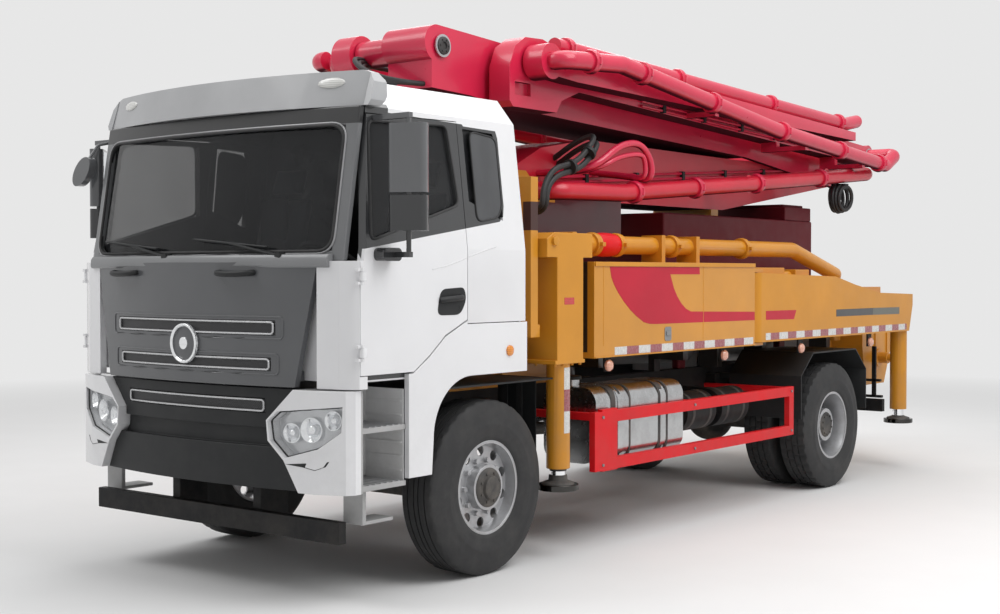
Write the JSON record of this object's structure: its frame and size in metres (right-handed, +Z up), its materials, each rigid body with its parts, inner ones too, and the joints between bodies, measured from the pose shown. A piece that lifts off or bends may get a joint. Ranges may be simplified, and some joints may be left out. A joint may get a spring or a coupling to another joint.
{
  "type": "truck-mounted concrete pump",
  "caption": "Two-axle cab-over truck with a concrete pump: folded placing boom on a slewing turret, deck, outriggers with jacks, rear hopper and delivery pipes.",
  "frame": {"origin": "on the ground, midway along the vehicle's length and width", "axes": "+X to the vehicle's left, +Y to its rear, +Z up"},
  "size_m": [2.9822, 8.53, 3.526],
  "materials": {
    "cab_white": "gloss paint",
    "cab_dark": "satin paint",
    "visor_grey": "satin paint",
    "black_steel": "satin paint",
    "yellow": "gloss paint",
    "red": "gloss paint",
    "maroon": "gloss paint",
    "guard_red": "gloss paint",
    "steel_grey": "worn steel",
    "tank_aluminium": "polished",
    "iron": "cast",
    "rim_silver": "silver paint",
    "tyre": "matt rubber",
    "glass": "tinted",
    "lamp_glass": "clear",
    "chrome": "polished",
    "plastic_black": "grained",
    "mesh_black": "woven mesh",
    "cloth_grey": "woven"
  },
  "bodies": {
    "chassis": {"chassis_frame": "black_steel", "front_axle": "iron", "rear_axle": "iron", "engine_block": "iron", "fuel_tank": "tank_aluminium", "air_tanks": "black_steel", "side_guards": "guard_red", "underrun_bars": "black_steel", "bumper": "plastic_black", "headlamps": "lamp_glass", "cab_shell": "cab_white", "windshield_frame": "cab_dark", "cab_glass": "glass", "front_panel": "cab_dark", "grille_mesh": "mesh_black", "sun_visor": "visor_grey", "lower_panels": "cab_white", "cab_steps": "steel_grey", "mudguards": "plastic_black", "dashboard": "plastic_black", "seats": "cloth_grey", "pedestal": "yellow", "deck": "yellow", "water_tank": "maroon", "pump_unit": "steel_grey", "hopper": "yellow", "delivery_pipe": "yellow"},
    "hopper_grate": {"hopper_grate": "black_steel"},
    "door_left": {"door_left": "cab_white", "door_glass_left": "glass", "mirror_left": "plastic_black"},
    "knuckle_left": {"knuckle_left": "iron"},
    "wheel_front_left": {"tyre_front_left": "tyre", "rim_front_left": "rim_silver"},
    "wheel_rear_left": {"tyre_rear_left": "tyre", "rim_rear_left": "rim_silver"},
    "outrigger_beam_left": {"outrigger_beam_left": "yellow"},
    "jack_front_left": {"jack_front_left": "chrome"},
    "outrigger_arm_left": {"outrigger_arm_left": "yellow"},
    "jack_rear_left": {"jack_rear_left": "chrome"},
    "door_right": {"door_right": "cab_white", "door_glass_right": "glass", "mirror_right": "plastic_black"},
    "knuckle_right": {"knuckle_right": "iron"},
    "wheel_front_right": {"tyre_front_right": "tyre", "rim_front_right": "rim_silver"},
    "wheel_rear_right": {"tyre_rear_right": "tyre", "rim_rear_right": "rim_silver"},
    "outrigger_beam_right": {"outrigger_beam_right": "yellow"},
    "jack_front_right": {"jack_front_right": "chrome"},
    "outrigger_arm_right": {"outrigger_arm_right": "yellow"},
    "jack_rear_right": {"jack_rear_right": "chrome"},
    "turret": {"turret": "yellow"},
    "boom_1": {"boom_1": "red"},
    "lift_barrel": {"lift_barrel": "yellow"},
    "lift_rod": {"lift_rod": "chrome"},
    "boom_2": {"boom_2": "red"},
    "boom_3": {"boom_3": "red"},
    "boom_4": {"boom_4": "red"},
    "boom_5": {"boom_5": "red"}
  },
  "joints": [
    {"name": "hopper_grate_hinge", "type": "hinge", "parent": "chassis", "child": "hopper_grate", "pos_m": [0, 3.47, 1.565], "axis": [1, 0, 0], "range_deg": [0, 70]},
    {"name": "door_left_hinge", "type": "hinge", "parent": "chassis", "child": "door_left", "pos_m": [1.237, -4.065, 1.42], "axis": [0, 0, -1], "range_deg": [0, 70]},
    {"name": "steer_left", "type": "hinge", "parent": "chassis", "child": "knuckle_left", "pos_m": [0.86, -2.865, 0.54], "axis": [0, 0, 1], "range_deg": [-35, 35]},
    {"name": "wheel_front_left_spin", "type": "hinge", "parent": "knuckle_left", "child": "wheel_front_left", "pos_m": [1.035, -2.865, 0.54], "axis": [1, 0, 0], "continuous": true},
    {"name": "wheel_rear_left_spin", "type": "hinge", "parent": "chassis", "child": "wheel_rear_left", "pos_m": [1.095, 1.835, 0.54], "axis": [1, 0, 0], "continuous": true},
    {"name": "outrigger_beam_left_slide", "type": "slide", "parent": "chassis", "child": "outrigger_beam_left", "axis": [1, 0, 0], "range_m": [0, 1.4]},
    {"name": "jack_front_left_slide", "type": "slide", "parent": "outrigger_beam_left", "child": "jack_front_left", "axis": [0, 0, -1], "range_m": [0, 0.44]},
    {"name": "outrigger_arm_left_hinge", "type": "hinge", "parent": "chassis", "child": "outrigger_arm_left", "pos_m": [1.145, 0.495, 1.31], "axis": [0, 0, -1], "range_deg": [0, 60]},
    {"name": "jack_rear_left_slide", "type": "slide", "parent": "outrigger_arm_left", "child": "jack_rear_left", "axis": [0, 0, -1], "range_m": [0, 0.43]},
    {"name": "door_right_hinge", "type": "hinge", "parent": "chassis", "child": "door_right", "pos_m": [-1.237, -4.065, 1.42], "axis": [0, 0, 1], "range_deg": [0, 70]},
    {"name": "steer_right", "type": "hinge", "parent": "chassis", "child": "knuckle_right", "pos_m": [-0.86, -2.865, 0.54], "axis": [0, 0, 1], "range_deg": [-35, 35]},
    {"name": "wheel_front_right_spin", "type": "hinge", "parent": "knuckle_right", "child": "wheel_front_right", "pos_m": [-1.035, -2.865, 0.54], "axis": [1, 0, 0], "continuous": true},
    {"name": "wheel_rear_right_spin", "type": "hinge", "parent": "chassis", "child": "wheel_rear_right", "pos_m": [-1.095, 1.835, 0.54], "axis": [1, 0, 0], "continuous": true},
    {"name": "outrigger_beam_right_slide", "type": "slide", "parent": "chassis", "child": "outrigger_beam_right", "axis": [-1, 0, 0], "range_m": [0, 1.4]},
    {"name": "jack_front_right_slide", "type": "slide", "parent": "outrigger_beam_right", "child": "jack_front_right", "axis": [0, 0, -1], "range_m": [0, 0.44]},
    {"name": "outrigger_arm_right_hinge", "type": "hinge", "parent": "chassis", "child": "outrigger_arm_right", "pos_m": [-1.145, 0.495, 1.31], "axis": [0, 0, 1], "range_deg": [0, 60]},
    {"name": "jack_rear_right_slide", "type": "slide", "parent": "outrigger_arm_right", "child": "jack_rear_right", "axis": [0, 0, -1], "range_m": [0, 0.43]},
    {"name": "boom_slew", "type": "hinge", "parent": "chassis", "child": "turret", "pos_m": [0, -1.565, 2.15], "axis": [0, 0, 1], "range_deg": [-90, 90]},
    {"name": "boom_1_lift", "type": "hinge", "parent": "turret", "child": "boom_1", "pos_m": [0, -1.565, 2.44], "axis": [1, 0, 0], "range_deg": [0, 85]},
    {"name": "lift_barrel_swing", "type": "hinge", "parent": "turret", "child": "lift_barrel", "pos_m": [0, -1.015, 2.18], "axis": [1, 0, 0], "range_deg": [0, 91.88]},
    {"name": "lift_rod_slide", "type": "slide", "parent": "lift_barrel", "child": "lift_rod", "axis": [0, 0.9903, 0.1386], "range_m": [0, 0.813]},
    {"name": "boom_2_unfold", "type": "hinge", "parent": "boom_1", "child": "boom_2", "pos_m": [0, 3.695, 2.84], "axis": [-1, 0, 0], "range_deg": [0, 175]},
    {"name": "boom_3_unfold", "type": "hinge", "parent": "boom_2", "child": "boom_3", "pos_m": [0, -2.371, 3.386], "axis": [1, 0, 0], "range_deg": [0, 180]},
    {"name": "boom_4_unfold", "type": "hinge", "parent": "boom_3", "child": "boom_4", "pos_m": [0, 3.985, 3.04], "axis": [-1, 0, 0], "range_deg": [0, 180]},
    {"name": "boom_5_unfold", "type": "hinge", "parent": "boom_4", "child": "boom_5", "pos_m": [0, -1.665, 3.33], "axis": [1, 0, 0], "range_deg": [0, 180]}
  ],
  "couplings": [
    {"joint": "steer_right", "follows": "steer_left", "ratio": 1},
    {"joint": "lift_barrel_swing", "follows": "boom_1_lift", "ratio": 1.0751},
    {"joint": "lift_rod_slide", "follows": "boom_1_lift", "m_per_rad": 0.54468},
    {"joint": "boom_2_unfold", "follows": "boom_1_lift", "ratio": 2.0588}
  ]
}
